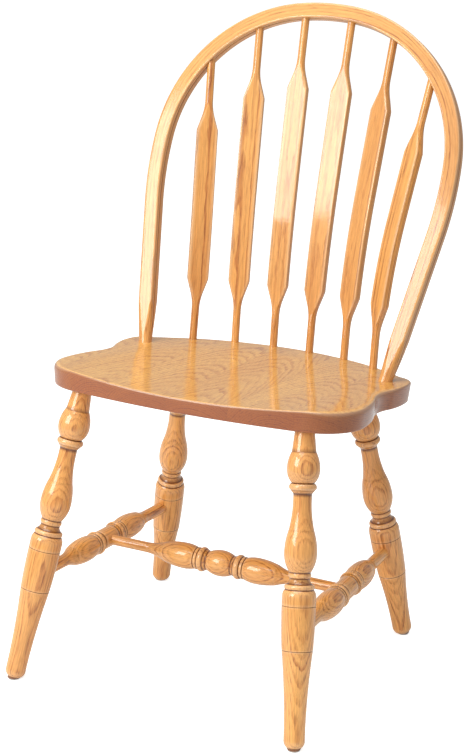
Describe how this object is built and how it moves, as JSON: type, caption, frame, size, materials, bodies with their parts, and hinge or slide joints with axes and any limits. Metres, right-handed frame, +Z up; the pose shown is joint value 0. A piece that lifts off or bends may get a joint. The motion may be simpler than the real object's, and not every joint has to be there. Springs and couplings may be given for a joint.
{
  "type": "side chair",
  "caption": "Bow-back wooden dining side chair with arrow-shaped spindles, a saddled seat, splayed turned legs and an H-shaped stretcher.",
  "frame": {"origin": "on the floor, under the middle of the chair's box", "axes": "+Z up; the front of the chair faces -Y; +X is to the sitter's left, so left and right in the names are the sitter's"},
  "size_m": [0.5224, 0.5929, 0.9788],
  "materials": {
    "oak_seat": "golden oak under a glossy clear lacquer",
    "oak_bow": "golden oak under a glossy clear lacquer",
    "oak_turned": "golden oak under a glossy clear lacquer",
    "glide_steel": "plated steel, satin"
  },
  "bodies": {
    "root": {"seat": "oak_seat", "bow": "oak_bow", "spindle_1": "oak_turned", "spindle_2": "oak_turned", "spindle_3": "oak_turned", "spindle_4": "oak_turned", "spindle_5": "oak_turned", "spindle_6": "oak_turned", "leg_front_left": "oak_turned", "leg_front_right": "oak_turned", "leg_rear_left": "oak_turned", "leg_rear_right": "oak_turned", "side_stretcher_left": "oak_turned", "side_stretcher_right": "oak_turned", "cross_stretcher": "oak_turned", "glide_front_left": "glide_steel", "glide_front_right": "glide_steel", "glide_rear_left": "glide_steel", "glide_rear_right": "glide_steel"}
  },
  "joints": []
}
